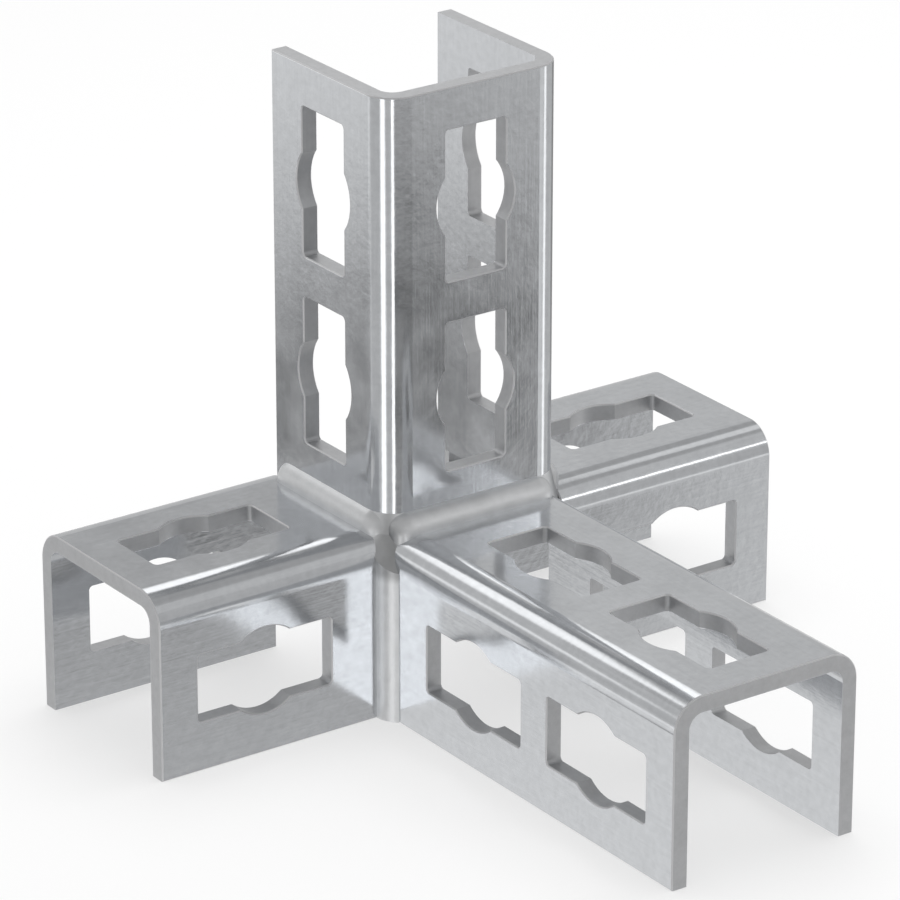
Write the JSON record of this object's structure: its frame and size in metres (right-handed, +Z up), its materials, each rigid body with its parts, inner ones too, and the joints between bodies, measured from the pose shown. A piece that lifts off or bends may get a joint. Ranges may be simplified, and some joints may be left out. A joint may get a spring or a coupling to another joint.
{
  "type": "strut angle fitting",
  "caption": "Welded steel corner fitting for strut: an upright U channel with a long front arm and two short side arms, slotted in every face.",
  "frame": {"origin": "where the centre lines of the upright and the two side arms cross, level with the arms' top faces", "axes": "+Z up the upright, +X along the right arm, -X along the left arm, -Y along the front arm"},
  "size_m": [0.1782, 0.1637, 0.1541],
  "materials": {
    "galvanised_sheet": "zinc coated, satin, with faint grain",
    "weld_metal": "zinc coated weld run, satin"
  },
  "bodies": {
    "root": {"upright_channel": "galvanised_sheet", "front_arm_channel": "galvanised_sheet", "left_arm_channel": "galvanised_sheet", "right_arm_channel": "galvanised_sheet", "weld_beads": "weld_metal"}
  },
  "joints": []
}
